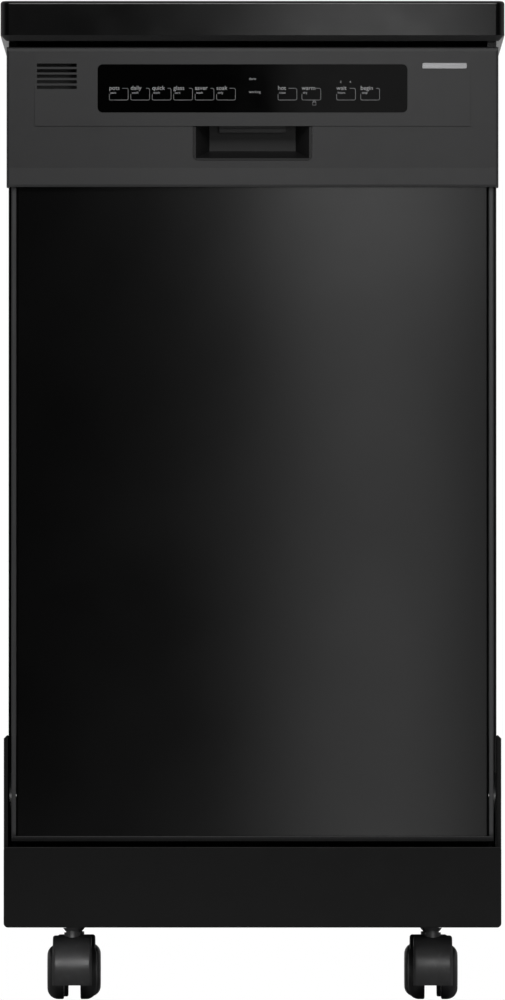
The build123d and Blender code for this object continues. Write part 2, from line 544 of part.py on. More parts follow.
def tine_row(x, y, z, height, count):
    """A comb of upright tines on one cross wire."""
    wires = [rod_x(x, y, z, WIRE_R)]
    for i in range(count):
        at = x[0] + 6.0 + i * (x[1] - x[0] - 12.0) / (count - 1)
        wires.append(rod_z(at, y, (z, z + height), WIRE_R))
    return fuse(wires)


def lower_rack():
    """Lower basket: five wire panels, plate tines over its back half and stub axles for its wheels."""
    half = LOWER_RACK_W / 2
    floor_top = LOWER_FLOOR_Z + 2 * WIRE_R
    solids = basket(LOWER_RACK_W, RACK_Y, LOWER_FLOOR_Z, LOWER_RACK_TOP, 9, 9)
    for row in range(5):
        row_y = RACK_Y[1] - 36.0 - row * 46.0
        solids.append(tine_row((-half + 8, half - 8), row_y, floor_top, 70.0, 11))
    axle_z = LEDGE_Z + FIT + RACK_WHEEL_R
    for axle_y in RACK_WHEEL_Y:
        leg = block((half - 2.5, half + 2), (axle_y - 5, axle_y + 5), (axle_z - 5, LOWER_FLOOR_Z - WIRE_R))
        stub = rod_x((half - 2, RACK_WHEEL_X[1] + 0.5), axle_y, axle_z, AXLE_R)
        solids += both(leg + stub)
    return Compound(children=solids)


def rack_wheels(at_y):
    """Two rack wheels on one axle line, left and right."""
    z = LEDGE_Z + FIT + RACK_WHEEL_R
    wheel = rod_x(RACK_WHEEL_X, at_y, z, RACK_WHEEL_R)
    wheel = fillet(wheel.edges().filter_by(GeomType.CIRCLE), 1.5)
    wheel -= rod_x((RACK_WHEEL_X[0] - 1, RACK_WHEEL_X[1] + 1), at_y, z, AXLE_R + RUN)
    groove = rod_x((RACK_WHEEL_X[1] - 2, RACK_WHEEL_X[1] + 1), at_y, z, 11.0)
    groove -= rod_x((RACK_WHEEL_X[1] - 3, RACK_WHEEL_X[1] + 2), at_y, z, 6.0)
    return Compound(children=both(wheel - groove))


def rail():
    """Right-hand rail on the upper rack: a channel that rides on the tub's two rollers."""
    x0, x1, sheet = UPPER_RACK_W / 2 + WIRE_R, ROLLER_X[1], 1.4
    top, bottom = ROLLER_Z + ROLLER_R + 0.4, ROLLER_Z - ROLLER_R - 1.0
    outer = block((x0, x1), RAIL_Y, (bottom - sheet, top + sheet))
    return outer - block((x0 + 2.0, x1 + 1), (RAIL_Y[0] - 1, RAIL_Y[1] + 1), (bottom, top))


def manifold():
    """Water tube under the upper rack, from the back nozzle to the upper spray arm's pin and its nut."""
    back = FLANGE_Y + TUB_D
    tube = rod_y(0, (UPPER_ARM_Y, back - 32), MANIFOLD_Z, 9.5)
    head = rod_z(0, UPPER_ARM_Y, (UPPER_ARM_Z + 16, MANIFOLD_Z + 12), 12.0)
    pin = rod_z(0, UPPER_ARM_Y, (UPPER_ARM_Z - 2, UPPER_ARM_Z + 17), ARM_PIN_R)
    flange = rod_z(0, UPPER_ARM_Y, (UPPER_ARM_Z - 3, UPPER_ARM_Z - FIT), ARM_PIN_R + 4)
    hanger = [block((-3, 3), (y - 6, y + 6), (MANIFOLD_Z, UPPER_FLOOR_Z - WIRE_R)) for y in (UPPER_ARM_Y + 55.0, UPPER_ARM_Y + 175.0)]
    return fuse([tube, head, pin, flange, *hanger])


def upper_rack():
    """Upper basket with its two rails, two rows of short tines and the spray manifold below."""
    half = UPPER_RACK_W / 2
    floor_top = UPPER_FLOOR_Z + 2 * WIRE_R
    solids = basket(UPPER_RACK_W, RACK_Y, UPPER_FLOOR_Z, UPPER_RACK_TOP, 9, 9)
    for row in (-70.0, 15.0, 100.0):
        comb = tine_row((RACK_Y[0] + 14, RACK_Y[1] - 14), 0, floor_top, 45.0, 12)
        solids.append(Pos(row, 0, 0) * Rot(0, 0, 90) * comb)
    solids += both(rail())
    solids.append(manifold())
    return Compound(children=solids)


def rail_rollers(at_y):
    """Two rollers on the tub's axle pins, left and right, that carry the upper rack's rails."""
    roller = rod_x(ROLLER_X, at_y, ROLLER_Z, ROLLER_R)
    roller = fillet(roller.edges().filter_by(GeomType.CIRCLE), 1.0)
    roller -= rod_x((ROLLER_X[0] - 1, ROLLER_X[1] + 1), at_y, ROLLER_Z, AXLE_R + RUN)
    return Compound(children=both(roller))


def silverware_basket():
    """Open cutlery basket with four cells, slotted walls and a looped grip above its middle divider."""
    side = LOWER_RACK_W / 2
    x, y = (side - 158.0, side - 10.0), (RACK_Y[0] + 13.0, RACK_Y[0] + 85.0)
    z = (LOWER_FLOOR_Z + 2 * WIRE_R + FIT, LOWER_RACK_TOP + 3.0)
    wall, cells = 2.0, 4
    body = round_edges(block(x, y, z), 8.0, Axis.Z)
    cell_w = (x[1] - x[0] - (cells + 1) * wall) / cells
    slot_h, slot_w = 8.0, 24.0
    for cell in range(cells):
        x0 = x[0] + wall + cell * (cell_w + wall)
        hollow = block((x0, x0 + cell_w), (y[0] + wall, y[1] - wall), (z[0] + wall, z[1] + 1))
        body -= round_edges(hollow, 6.0, Axis.Z)
        slot_x = x0 + (cell_w - slot_w) / 2
        for level in range(5):
            z0 = z[0] + 16 + level * 16
            body -= block((slot_x, slot_x + slot_w), (y[0] - 1, y[1] + 1), (z0, z0 + slot_h))
    mid_x, mid_y, grip_z = (x[0] + x[1]) / 2, (y[0] + y[1]) / 2, z[1] + 30.0
    grip = block((mid_x - 1.5, mid_x + 1.5), (mid_y - 24, mid_y + 24), (z[1] - 12, grip_z))
    grip = round_edges(grip, 10.0, Axis.X, (0, -9999, grip_z - 1), (9999, 9999, grip_z + 1))
    finger = block((mid_x - 2, mid_x + 2), (mid_y - 17, mid_y + 17), (z[1] + 4, grip_z - 7))
    return body + (grip - round_edges(finger, 6.0, Axis.X))


# ---------------------------------------------------------------- door
def door_outer_panel():
    """Painted door sheet: a shallow pan with folded sides and foot, its upper edge behind the console."""
    half, depth = DOOR_W / 2 - 4.4, 18.0
    z = (DOOR_Z + 5.4, CONSOLE_Z + 8.0)
    pan = block((-half, half), (PANEL_Y, PANEL_Y + depth), z)
    pan = round_edges(pan, 2.0, Axis.Z, (-half - 1, PANEL_Y - 1, 0), (half + 1, PANEL_Y + 1, 9999))
    hollow = block((-half + SHEET, half - SHEET), (PANEL_Y + SHEET, PANEL_Y + depth + 1), (z[0] + SHEET, 9999))
    return pan - hollow


def door_trims():
    """Side trims beside the door panel and the trim under its foot."""
    x0, x1 = DOOR_W / 2 - 4.2, DOOR_W / 2
    z = (DOOR_Z + 5.4, CONSOLE_Z - FIT)
    side = block((x0, x1), (TRIM_Y, TRIM_Y + 3.0), z) + block((x1 - 1.4, x1), (TRIM_Y, TRIM_Y + 11.5), z)
    side = round_edges(side, 0.9, Axis.Z, (x0 - 1, TRIM_Y - 1, 0), (x1 + 1, TRIM_Y + 0.5, 9999))
    foot = block((-x1, x1), (TRIM_Y, TRIM_Y + 18.0), (DOOR_Z, DOOR_Z + 5.2))
    foot -= block((-x1 - 1, x1 + 1), (TRIM_Y + 2.0, TRIM_Y + 16.5), (DOOR_Z + 2.0, 9999))
    foot = round_edges(foot, 0.9, Axis.X, (-9999, TRIM_Y - 1, 0), (9999, TRIM_Y + 0.5, 9999))
    return Compound(children=[*both(side), foot])


def inner_door_liner():
    """Pressed steel inner door: a rim against the seal and a raised middle, open towards the panel."""
    half, z = HINGE_ARM_X[0], (HINGE_Z + 6.0, FLANGE_TOP_Z)
    front_y = PANEL_Y + 8.0
    mid_x, mid_z = TUB_W / 2 - 13.0, (LIP_Z + 9.0, TUB_TOP_Z - 8.0)
    back_y = LINER_Y + LINER_RAISE
    body = block((-half, half), (front_y, LINER_Y), z)
    raised = rounded_slab((-mid_x, mid_x), mid_z, (LINER_Y - 2, back_y), 22.0)
    raised = fillet(raised.faces().sort_by(Axis.Y)[-1].edges(), 5.0)
    hollow = block((-half + STEEL, half - STEEL), (front_y - 1, LINER_Y - STEEL), (z[0] + STEEL, z[1] - STEEL))
    inside = rounded_slab((-mid_x + STEEL, mid_x - STEEL), (mid_z[0] + STEEL, mid_z[1] - STEEL),
                          (LINER_Y - 3, back_y - STEEL), 21.0)
    inside = fillet(inside.faces().sort_by(Axis.Y)[-1].edges(), 4.0)
    liner = body + raised - hollow - inside
    opening_w, opening_h = DISPENSER_W - 20.0, DISPENSER_H - 20.0
    liner -= block((DISPENSER_X - opening_w / 2, DISPENSER_X + opening_w / 2), (LINER_Y - 3, back_y + 1),
                   (DISPENSER_Z - opening_h / 2, DISPENSER_Z + opening_h / 2))
    return liner - block((-14, 14), (LINER_Y - 3, LINER_Y + 1), STRIKE_SLOT_Z)


def console_fascia():
    """Moulded console: wedge-shaped upper panel with window and vent slots, pocket opening, folded edges."""
    half, top = CONSOLE_W / 2, CONSOLE_Z + CONSOLE_H
    face, back = CONSOLE_Y + 1.0, HINGE_Y
    outline = [(back, CONSOLE_Z), (face + 0.4, CONSOLE_Z), (face - 0.8, CONSOLE_Z + 2.0), (face, CONSOLE_Z + 17.0),
               (face, top - 4.0), (face + 1.2, top - 1.2), (face + 4.0, top), (back, top)]
    shell = side_extrude(outline, (-half, half))
    shell = round_edges(shell, 2.5, Axis.Z, (-half - 1, face - 1, 0), (half + 1, face + 1, 9999))
    shell += side_extrude([(face + 1.5, UPPER_PANEL_Z), (CONSOLE_Y, UPPER_PANEL_Z), (face, top - 5.0),
                           (face + 1.5, top - 5.0)], (-UPPER_PANEL_W / 2, UPPER_PANEL_W / 2))
    shell -= block((-half + MOULD, half - MOULD), (face + MOULD, back + 1), (CONSOLE_Z + MOULD, top - MOULD))
    shell -= block((-half + MOULD, half - MOULD), (PANEL_Y - FIT, back + 1), (CONSOLE_Z - 1, CONSOLE_Z + 5))
    tail_half = TUB_W / 2 + 4.0
    shell += block((-tail_half, tail_half), (back - 1, LINER_Y - 0.5), (top - MOULD, top))
    grow = PAD_GAP
    shell -= rounded_slab((-WINDOW_W / 2 - grow, WINDOW_W / 2 + grow),
                          (WINDOW_Z - WINDOW_H / 2 - grow, WINDOW_Z + WINDOW_H / 2 + grow),
                          (CONSOLE_Y - 1, face + 6), WINDOW_R + grow)
    duct_x, duct_z = VENT_W / 2, VENT_SLOTS * VENT_PITCH / 2
    duct = block((VENT_X - duct_x - 1.5, VENT_X + duct_x + 1.5), (face + 1, face + 26),
                 (VENT_Z - duct_z - 1.5, VENT_Z + duct_z + 1.5))
    shell += duct - block((VENT_X - duct_x, VENT_X + duct_x), (face + MOULD, face + 24.5),
                          (VENT_Z - duct_z, VENT_Z + duct_z))
    for slot in range(VENT_SLOTS):
        z = VENT_Z + (slot - (VENT_SLOTS - 1) / 2) * VENT_PITCH
        shell -= block((VENT_X - VENT_W / 2, VENT_X + VENT_W / 2), (CONSOLE_Y - 1, face + 6),
                       (z - VENT_SLOT_H / 2, z + VENT_SLOT_H / 2))
    pocket = rounded_slab((-POCKET_W / 2, POCKET_W / 2), (POCKET_Z, POCKET_TOP_Z + 20), (CONSOLE_Y - 1, face + 6),
                          5.0)
    return shell - (pocket & block((-200, 200), (CONSOLE_Y - 2, face + 7), (0, POCKET_TOP_Z)))


def console_window():
    """Glossy control window, pierced for the touch pads."""
    y = (CONSOLE_Y + WINDOW_INSET, CONSOLE_Y + WINDOW_INSET + MOULD)
    plate = rounded_slab((-WINDOW_W / 2, WINDOW_W / 2), (WINDOW_Z - WINDOW_H / 2, WINDOW_Z + WINDOW_H / 2), y,
                         WINDOW_R)
    for x in PAD_X:
        plate -= rounded_slab((x - PAD_W / 2 - PAD_GAP, x + PAD_W / 2 + PAD_GAP),
                              (PAD_Z - PAD_H / 2 - PAD_GAP, PAD_Z + PAD_H / 2 + PAD_GAP),
                              (y[0] - 1, y[1] + 1), PAD_R + PAD_GAP)
    return plate


def touch_pad(x):
    """One touch pad, flush with the window, with the plunger that presses its switch."""
    y0 = CONSOLE_Y + WINDOW_INSET
    cap = rounded_slab((x - PAD_W / 2, x + PAD_W / 2), (PAD_Z - PAD_H / 2, PAD_Z + PAD_H / 2),
                       (y0, y0 + MOULD), PAD_R)
    return cap + rod_y(x, (y0 + MOULD, y0 + 6.3), PAD_Z, 1.8)


def control_board():
    """Circuit board behind the window, with one switch for each pad, a relay block and a connector."""
    y0 = CONSOLE_Y + WINDOW_INSET + 8.4
    board = block((-WINDOW_W / 2 - 2, WINDOW_W / 2 + 2), (y0, y0 + 1.6), (WINDOW_Z - 20, WINDOW_Z + 24))
    for x in PAD_X:
        board += block((x - 3, x + 3), (y0 - 1.4, y0), (PAD_Z - 3, PAD_Z + 3))
    board += block((60, 100), (y0 + 1.6, y0 + 18), (WINDOW_Z - 14, WINDOW_Z + 14))
    return board + block((-110, -70), (y0 + 1.6, y0 + 10), (WINDOW_Z - 8, WINDOW_Z + 4))


def latch_body():
    """Black moulding behind the console: the finger pocket and the latch case above it."""
    y0, y1 = CONSOLE_Y + 1.6, CONSOLE_Y + 1.6 + POCKET_DEPTH
    half, wall = POCKET_W / 2 - 0.2, 2.0
    pin_y, pin_z = PADDLE_AXIS
    pocket = block((-half, half), (y0, y1), (POCKET_Z + 0.2, POCKET_TOP_Z + 13.0))
    pocket = round_edges(pocket, 5.0, Axis.Y)
    mouth = Plane.XZ.offset(-y0 + 1) * (Pos(0, POCKET_Z + 20.4) * Rectangle(2 * half - 2 * wall, 37.0))
    rear = Plane.XZ.offset(-y1 + wall) * (Pos(0, POCKET_Z + 24.4) * Rectangle(2 * half - 29.6, 30.0))
    pocket -= loft([mouth, rear])
    pocket -= block((-half - 1, half + 1), (y0 - 1, CONSOLE_Y + 4.0), (POCKET_TOP_Z - 0.4, 9999))
    swing = (pin_y - 8.0, pin_y + 4.0)
    pocket -= block((-PADDLE_W / 2 - 0.5, PADDLE_W / 2 + 0.5), swing, (POCKET_TOP_Z - 7.0, 9999))
    for cheek in both(block((PADDLE_W / 2 + 0.5, PADDLE_W / 2 + 6), (pin_y - 4, pin_y + 4), (pin_z - 5, pin_z + 4))):
        pocket += cheek
    pocket -= rod_x((-PADDLE_W / 2 - 7, PADDLE_W / 2 + 7), pin_y, pin_z, 2.0 + RUN)
    case_top = STRIKE_SLOT_Z[1] + 1.6
    case = block((-36, 36), (y1, LINER_Y - STEEL - FIT), (PADDLE_AXIS[1] + 2, case_top))
    neck = block((-36, 36), (y1 - wall, y1), (POCKET_TOP_Z - 10.0, case_top))
    slot = block((-14, 14), (y1 + 6, LINER_Y), STRIKE_SLOT_Z)
    return pocket + case + neck - slot


def latch_paddle():
    """Finger paddle that hangs behind the pocket's upper lip and turns on its cross pin."""
    y, z = PADDLE_AXIS
    half = PADDLE_W / 2
    foot_z = POCKET_TOP_Z - 5.5
    blade = block((-half, half), (y - 1.2, y + 1.2), (foot_z, z))
    lip = block((-half, half), (y - 3.0, y + 1.2), (foot_z, foot_z + 3.0))
    pin = rod_x((-half - 4, half + 4), y, z, 2.0)
    barrel = rod_x((-half, half), y, z, 3.0)
    return blade + lip + pin + barrel


def dispenser_body():
    """Detergent and rinse-aid dispenser: a framed housing with the wash cup and the cap's seat."""
    y1 = LINER_Y + LINER_RAISE
    x, z = (DISPENSER_X - DISPENSER_W / 2, DISPENSER_X + DISPENSER_W / 2), (DISPENSER_Z - DISPENSER_H / 2,
                                                                            DISPENSER_Z + DISPENSER_H / 2)
    body = rounded_slab(x, z, (y1, y1 + 2.5), 12.0)
    body = fillet(body.faces().sort_by(Axis.Y)[-1].edges(), 1.2)
    body += block((x[0] + 10.5, x[1] - 10.5), (y1 - 34, y1), (z[0] + 10.5, z[1] - 10.5))
    cup = rounded_slab((LID_X - LID_W / 2 + 4, LID_X + LID_W / 2 - 4), (LID_Z - LID_H / 2 + 4, LID_Z + LID_H / 2 - 6),
                       (y1 - 30, y1 + 5), 6.0)
    seat = rounded_slab((LID_X - LID_W / 2 - 0.5, LID_X + LID_W / 2 + 0.5),
                        (LID_Z - LID_H / 2 - 0.5, LID_Z + LID_H / 2 + 5.0), (y1 - 1.0, y1 + 9), 5.0)
    pin_y, pin_z = LID_AXIS
    for side in (-1, 1):
        ear_x = sorted(LID_X + side * (LID_W / 2 + reach) for reach in (0.7, 4.0))
        body += block(ear_x, (y1, pin_y + 2.2), (pin_z - 2.2, pin_z + 2.2))
        body -= rod_x((ear_x[0] - 1, ear_x[1] + 1), pin_y, pin_z, LID_PIN_R + RUN)
    cap_seat = rod_y(CAP_X, (y1 - 6, y1 + 5), CAP_Z, CAP_R + 0.4) + rod_y(CAP_X, (y1 - 14, y1), CAP_Z, 9.0)
    return body - cup - seat - cap_seat


def dispenser_lid():
    """Flap over the detergent cup, with a thumb ridge and its pin and barrel along the upper edge."""
    y1 = LINER_Y + LINER_RAISE
    x = (LID_X - LID_W / 2, LID_X + LID_W / 2)
    z = (LID_Z - LID_H / 2, LID_Z + LID_H / 2)
    plate = rounded_slab(x, z, (y1 - 0.8, y1 + 2.6), 4.5)
    plate = fillet(plate.faces().sort_by(Axis.Y)[-1].edges(), 1.0)
    thumb = block((LID_X - 16, LID_X + 16), (y1 + 2.6, y1 + 5.0), (z[0] + 5, z[0] + 9))
    barrel = rod_x(x, *LID_AXIS, 1.8)
    return plate + thumb + barrel + rod_x((x[0] - 3.8, x[1] + 3.8), *LID_AXIS, LID_PIN_R)


def rinse_aid_cap():
    """Quarter-turn cap with a grip bar and its threaded plug."""
    y1 = LINER_Y + LINER_RAISE
    disc = rod_y(CAP_X, (y1 - 5.6, y1 + 3.0), CAP_Z, CAP_R)
    disc = fillet(disc.faces().sort_by(Axis.Y)[-1].edges(), 1.2)
    bar = block((CAP_X - 3, CAP_X + 3), (y1 + 3.0, y1 + 7.5), (CAP_Z - CAP_R + 3, CAP_Z + CAP_R - 3))
    return disc + bar + rod_y(CAP_X, (y1 - 13.4, y1 - 5.6), CAP_Z, 8.4)


def hinge_arms():
    """Door hinge arms, one each side, bored for the bracket's pin and fixed to the inner door's side."""
    x0, x1 = HINGE_ARM_X
    arm = block((x0, x1), (HINGE_Y - 9, HINGE_Y + 11), (HINGE_Z, HINGE_Z + 130))
    arm += rod_x((x0, x1), HINGE_Y, HINGE_Z, 11.0)
    arm -= rod_x((x0 - 1, x1 + 1), HINGE_Y, HINGE_Z, HINGE_PIN_R + RUN)
    return Compound(children=both(arm))


# ---------------------------------------------------------------- casters
def caster_housing(x, y):
    """Hooded swivel housing: a drum over the wheels, open at the rear, a web between them, and the stem."""
    axle_y, half, web = CASTER_TRAIL, HOOD_W / 2, WHEEL_X[0] - 0.7
    nose_y, hood_r = axle_y - 8.0, CASTER_TOP_Z - WHEEL_R
    hood = rod_x((-half, half), axle_y, WHEEL_R, hood_r) + rod_x((-half, half), nose_y, WHEEL_R, hood_r)
    hood += block((-half, half), (nose_y, axle_y), (0, CASTER_TOP_Z))
    hood = fillet(hood.faces().sort_by(Axis.X)[0].edges() + hood.faces().sort_by(Axis.X)[-1].edges(), 2.5)
    hood &= block((-half, half), (-99, 99), (WHEEL_R / 2, 99))
    for wheel_x in ((web, half + 1), (-half - 1, -web)):
        hood -= rod_x(wheel_x, axle_y, WHEEL_R, WHEEL_R + 0.8)
    rear = block((-half - 1, half + 1), (axle_y + 4, 60), (0, WHEEL_R + 14))
    rear -= rod_x((-web, web), axle_y, WHEEL_R, 11.0) + block((-web, web), (0, axle_y + 8), (WHEEL_R, 99))
    hood -= rear
    hood -= rod_x((-half, half), axle_y, WHEEL_R, AXLE_R + RUN)
    lip_h = 3.0
    stem = rod_z(0, 0, (CASTER_TOP_Z - 11, BASE_Z + 32), CASTER_STEM_R)
    stem += rod_z(0, 0, (CASTER_TOP_Z - 8, CASTER_TOP_Z + 2.8), 7.2)
    stem += Pos(0, 0, BASE_Z - FIT - lip_h / 2) * Cone(CASTER_STEM_R + 0.5, CASTER_STEM_R + 2.8, lip_h)
    return Pos(x, y, 0) * (hood + stem)


def caster_wheels(x, y):
    """Twin wheels on their axle: domed outside, with an inner rim groove."""
    x0, x1 = WHEEL_X
    axle_y = y + CASTER_TRAIL
    wheel = rod_x((x0, x1), axle_y, WHEEL_R, WHEEL_R)
    wheel = fillet(wheel.faces().sort_by(Axis.X)[-1].edges(), 10.0)
    wheel = fillet(wheel.faces().sort_by(Axis.X)[0].edges(), 1.5)
    wheel -= rod_x((x0 - 1, x1 - 3), axle_y, WHEEL_R, AXLE_R)
    axle = rod_x((-x1 + 3, x1 - 3), axle_y, WHEEL_R, AXLE_R)
    return Compound(children=[Pos(x, 0, 0) * piece for piece in (*both(wheel), axle)])


# ---------------------------------------------------------------- output
def all_nodes():
    """Every node of the machine, by name."""
    nodes = {
        "worktop_board": worktop_board(),
        "worktop_edge_trim": worktop_edge_trim(),
        "side_panel_right": side_panel(),
        "side_panel_left": mirror(side_panel(), about=Plane.YZ),
        "back_panel": back_panel(),
        "base_frame": base_frame(),
        "toe_kick": toe_kick(),
        "cabinet_screws": cabinet_screws(),
        "tub": tub(),
        "door_seal": door_seal(),
        "latch_strike": latch_strike(),
        "hinge_brackets": hinge_brackets(),
        "balance_springs": balance_springs(),
        "sump": sump(),
        "filter_assembly": filter_assembly(),
        "wash_pump": wash_pump(),
        "drain_pump": drain_pump(),
        "inlet_valve": inlet_valve(),
        "rear_hose_box": rear_hose_box(),
        "spray_feed_pipe": spray_feed_pipe(),
        "heater_element": heater_element(),
        "lower_spray_arm": lower_spray_arm(),
        "upper_spray_arm": upper_spray_arm(),
        "lower_rack": lower_rack(),
        "lower_rack_wheels_front": rack_wheels(RACK_WHEEL_Y[0]),
        "lower_rack_wheels_rear": rack_wheels(RACK_WHEEL_Y[1]),
        "upper_rack": upper_rack(),
        "rail_rollers_front": rail_rollers(ROLLER_Y[0]),
        "rail_rollers_rear": rail_rollers(ROLLER_Y[1]),
        "silverware_basket": silverware_basket(),
        "door_outer_panel": door_outer_panel(),
        "door_trims": door_trims(),
        "inner_door_liner": inner_door_liner(),
        "console_fascia": console_fascia(),
        "console_window": console_window(),
        "control_board": control_board(),
        "latch_body": latch_body(),
        "latch_paddle": latch_paddle(),
        "dispenser_body": dispenser_body(),
        "dispenser_lid": dispenser_lid(),
        "rinse_aid_cap": rinse_aid_cap(),
        "hinge_arms": hinge_arms(),
    }
    for number, x in enumerate(PAD_X, start=1):
        nodes[f"touch_pad_{number:02d}"] = touch_pad(x)
    for side, x in (("left", -CASTER_X), ("right", CASTER_X)):
        for end, y in (("front", -CASTER_Y), ("rear", CASTER_Y)):
            nodes[f"caster_housing_{end}_{side}"] = caster_housing(x, y)
            nodes[f"caster_wheels_{end}_{side}"] = caster_wheels(x, y)
    return nodes


os.makedirs("parts", exist_ok=True)
for name, shape in all_nodes().items():
    export_step(shape, f"parts/{name}.step")
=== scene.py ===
import math

import bmesh
import bpy
from mathutils import Matrix, Vector


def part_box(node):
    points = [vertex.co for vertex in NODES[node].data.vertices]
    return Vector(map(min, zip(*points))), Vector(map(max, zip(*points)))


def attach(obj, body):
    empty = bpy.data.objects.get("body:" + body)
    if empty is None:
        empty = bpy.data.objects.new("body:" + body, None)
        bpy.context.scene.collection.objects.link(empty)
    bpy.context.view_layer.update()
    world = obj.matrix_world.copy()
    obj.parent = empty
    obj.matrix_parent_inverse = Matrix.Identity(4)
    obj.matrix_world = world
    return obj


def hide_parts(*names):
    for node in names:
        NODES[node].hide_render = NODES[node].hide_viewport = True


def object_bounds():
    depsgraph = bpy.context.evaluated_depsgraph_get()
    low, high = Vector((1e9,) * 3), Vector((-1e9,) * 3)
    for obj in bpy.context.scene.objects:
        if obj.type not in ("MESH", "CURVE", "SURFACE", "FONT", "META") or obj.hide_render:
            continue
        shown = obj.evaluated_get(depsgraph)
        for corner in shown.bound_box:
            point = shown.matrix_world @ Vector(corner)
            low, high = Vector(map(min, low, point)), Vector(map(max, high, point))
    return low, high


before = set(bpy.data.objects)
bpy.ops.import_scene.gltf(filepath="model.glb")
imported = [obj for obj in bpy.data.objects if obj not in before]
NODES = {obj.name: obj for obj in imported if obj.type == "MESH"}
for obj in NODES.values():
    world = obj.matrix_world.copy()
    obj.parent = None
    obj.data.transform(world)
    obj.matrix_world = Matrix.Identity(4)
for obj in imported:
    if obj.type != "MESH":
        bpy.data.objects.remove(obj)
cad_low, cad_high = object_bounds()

MM = 0.001
PADS = sorted(name for name in NODES if name.startswith("touch_pad_"))

WHITE = (1, 1, 1, 1)
TRIM_FOOT_Z = (0.147, 0.15)        # heights between which the side trims turn from dark to their painted-highlight grey
FLOOR_TONE_Z = (0.06, 0.14)              # heights between which the base turns from a lighter grey near the floor to a darker grey above
PRINT_LIFT = 0.02 * MM             # how far the print stands off the window and pads
LETTER_THICKNESS = 0.00003
PAD_LINE, LOCK_LINE, SPRING_WIRE = 0.16 * MM, 0.15 * MM, 0.75 * MM      # radii of drawn lines and wire
COIL_R, COIL_TURNS = 3.9 * MM, 40
LIGHT_Y = -1.3                     # where the two tall softboxes stand, in front of the door
CASTER_X = 0.1635
FLOOR_SIZE = 6
LENS_DISTANCE, SENSOR_WIDTH, CAMERA_Z = 20.0, 36.0, 0.1
FRAMING = 0.999                    # leaves a hair of margin above and below the outline


# ---------------------------------------------------------------- materials
class Shader:
    """A Principled material with helpers that add procedural detail in the shared frame."""

    def __init__(self, name, color, roughness, **inputs):
        self.material = bpy.data.materials.new(name)
        self.material.use_nodes = True
        self.tree = self.material.node_tree
        self.bsdf = self.tree.nodes["Principled BSDF"]
        self.bsdf.inputs["Base Color"].default_value = (*color, 1)
        self.bsdf.inputs["Roughness"].default_value = roughness
        for key, value in inputs.items():
            socket = key.replace("_", " ").title().replace("Ior", "IOR")
            self.bsdf.inputs[socket].default_value = value
        self.height = None

    def link(self, a, b):
        self.tree.links.new(a, b)

    def coordinates(self, stretch=(1, 1, 1)):
        place = self.tree.nodes.new("ShaderNodeTexCoord")
        mapping = self.tree.nodes.new("ShaderNodeMapping")
        mapping.inputs["Scale"].default_value = stretch
        self.link(place.outputs["Object"], mapping.inputs["Vector"])
        return mapping.outputs["Vector"]

    def noise(self, scale, detail=3, stretch=(1, 1, 1)):
        node = self.tree.nodes.new("ShaderNodeTexNoise")
        node.inputs["Scale"].default_value = scale
        node.inputs["Detail"].default_value = detail
        self.link(self.coordinates(stretch), node.inputs["Vector"])
        return node.outputs["Fac"]

    def cells(self, scale, output="Distance"):
        node = self.tree.nodes.new("ShaderNodeTexVoronoi")
        node.inputs["Scale"].default_value = scale
        self.link(self.coordinates(), node.inputs["Vector"])
        return node.outputs[output]

    def remap(self, value, low, high, start=0.3, end=0.7):
        node = self.tree.nodes.new("ShaderNodeMapRange")
        for socket, number in zip(("From Min", "From Max", "To Min", "To Max"), (start, end, low, high)):
            node.inputs[socket].default_value = number
        self.link(value, node.inputs["Value"])
        return node.outputs["Result"]

    def vary_roughness(self, value, low, high, start=0.3, end=0.7):
        self.link(self.remap(value, low, high, start, end), self.bsdf.inputs["Roughness"])
        return self

    def vary_color(self, value, *colors, start=0.3, end=0.7):
        ramp = self.tree.nodes.new("ShaderNodeValToRGB")
        elements = ramp.color_ramp.elements
        while len(elements) < len(colors):
            elements.new(0.5)
        for i, color in enumerate(colors):
            elements[i].position = start + (end - start) * i / (len(colors) - 1)
            elements[i].color = (*color, 1)
        self.link(value, ramp.inputs["Fac"])
        self.link(ramp.outputs["Color"], self.bsdf.inputs["Base Color"])
        return self

    def bump(self, value, distance, strength=1.0):
        node = self.tree.nodes.new("ShaderNodeBump")
        node.inputs["Strength"].default_value = strength
        node.inputs["Distance"].default_value = distance
        self.link(value, node.inputs["Height"])
        if self.height is not None:
            self.link(self.height, node.inputs["Normal"])
        self.link(node.outputs["Normal"], self.bsdf.inputs["Normal"])
        self.height = node.outputs["Normal"]
        return self

    def along(self, axis):
        """The place along one axis of the shared frame, in metres."""
        split = self.tree.nodes.new("ShaderNodeSeparateXYZ")
        self.link(self.coordinates(), split.inputs["Vector"])
        return split.outputs[axis]


def grey(value):
    """A grey with the faintest blue in it."""
    return (value, value, value * 1.02)


def black_paint():
    """Glossy enamel on sheet steel: faint orange peel and a broad, slightly soft reflection."""
    shader = Shader("black_enamel", grey(0.0014), 0.21)
    shader.vary_roughness(shader.noise(9), 0.2, 0.23)
    return shader.bump(shader.noise(420, 2), 0.00002, 0.35).material


def gloss_trim():
    """Glossy black moulded edge of the worktop."""
    shader = Shader("gloss_trim", grey(0.0016), 0.21)
    shader.vary_roughness(shader.noise(30), 0.2, 0.24)
    return shader.bump(shader.noise(600, 2), 0.00001, 0.3).material


def side_trim_highlight():
    """Satin anodised strips beside the door panel; above their dark feet their grey, lighter than the
    enamel, is a painted highlight of the bent edges.
    """
    shader = Shader("side_trim_highlight", grey(0.1), 0.42, metallic=0.7)
    # painted highlight: grey(0.1) above TRIM_FOOT_Z stands in for the reflection on the bent edges
    shader.vary_color(shader.along("Z"), grey(0.012), grey(0.1),
                      start=TRIM_FOOT_Z[0], end=TRIM_FOOT_Z[1])
    return shader.vary_roughness(shader.noise(900, 2, (1, 1, 0.02)), 0.36, 0.48).material


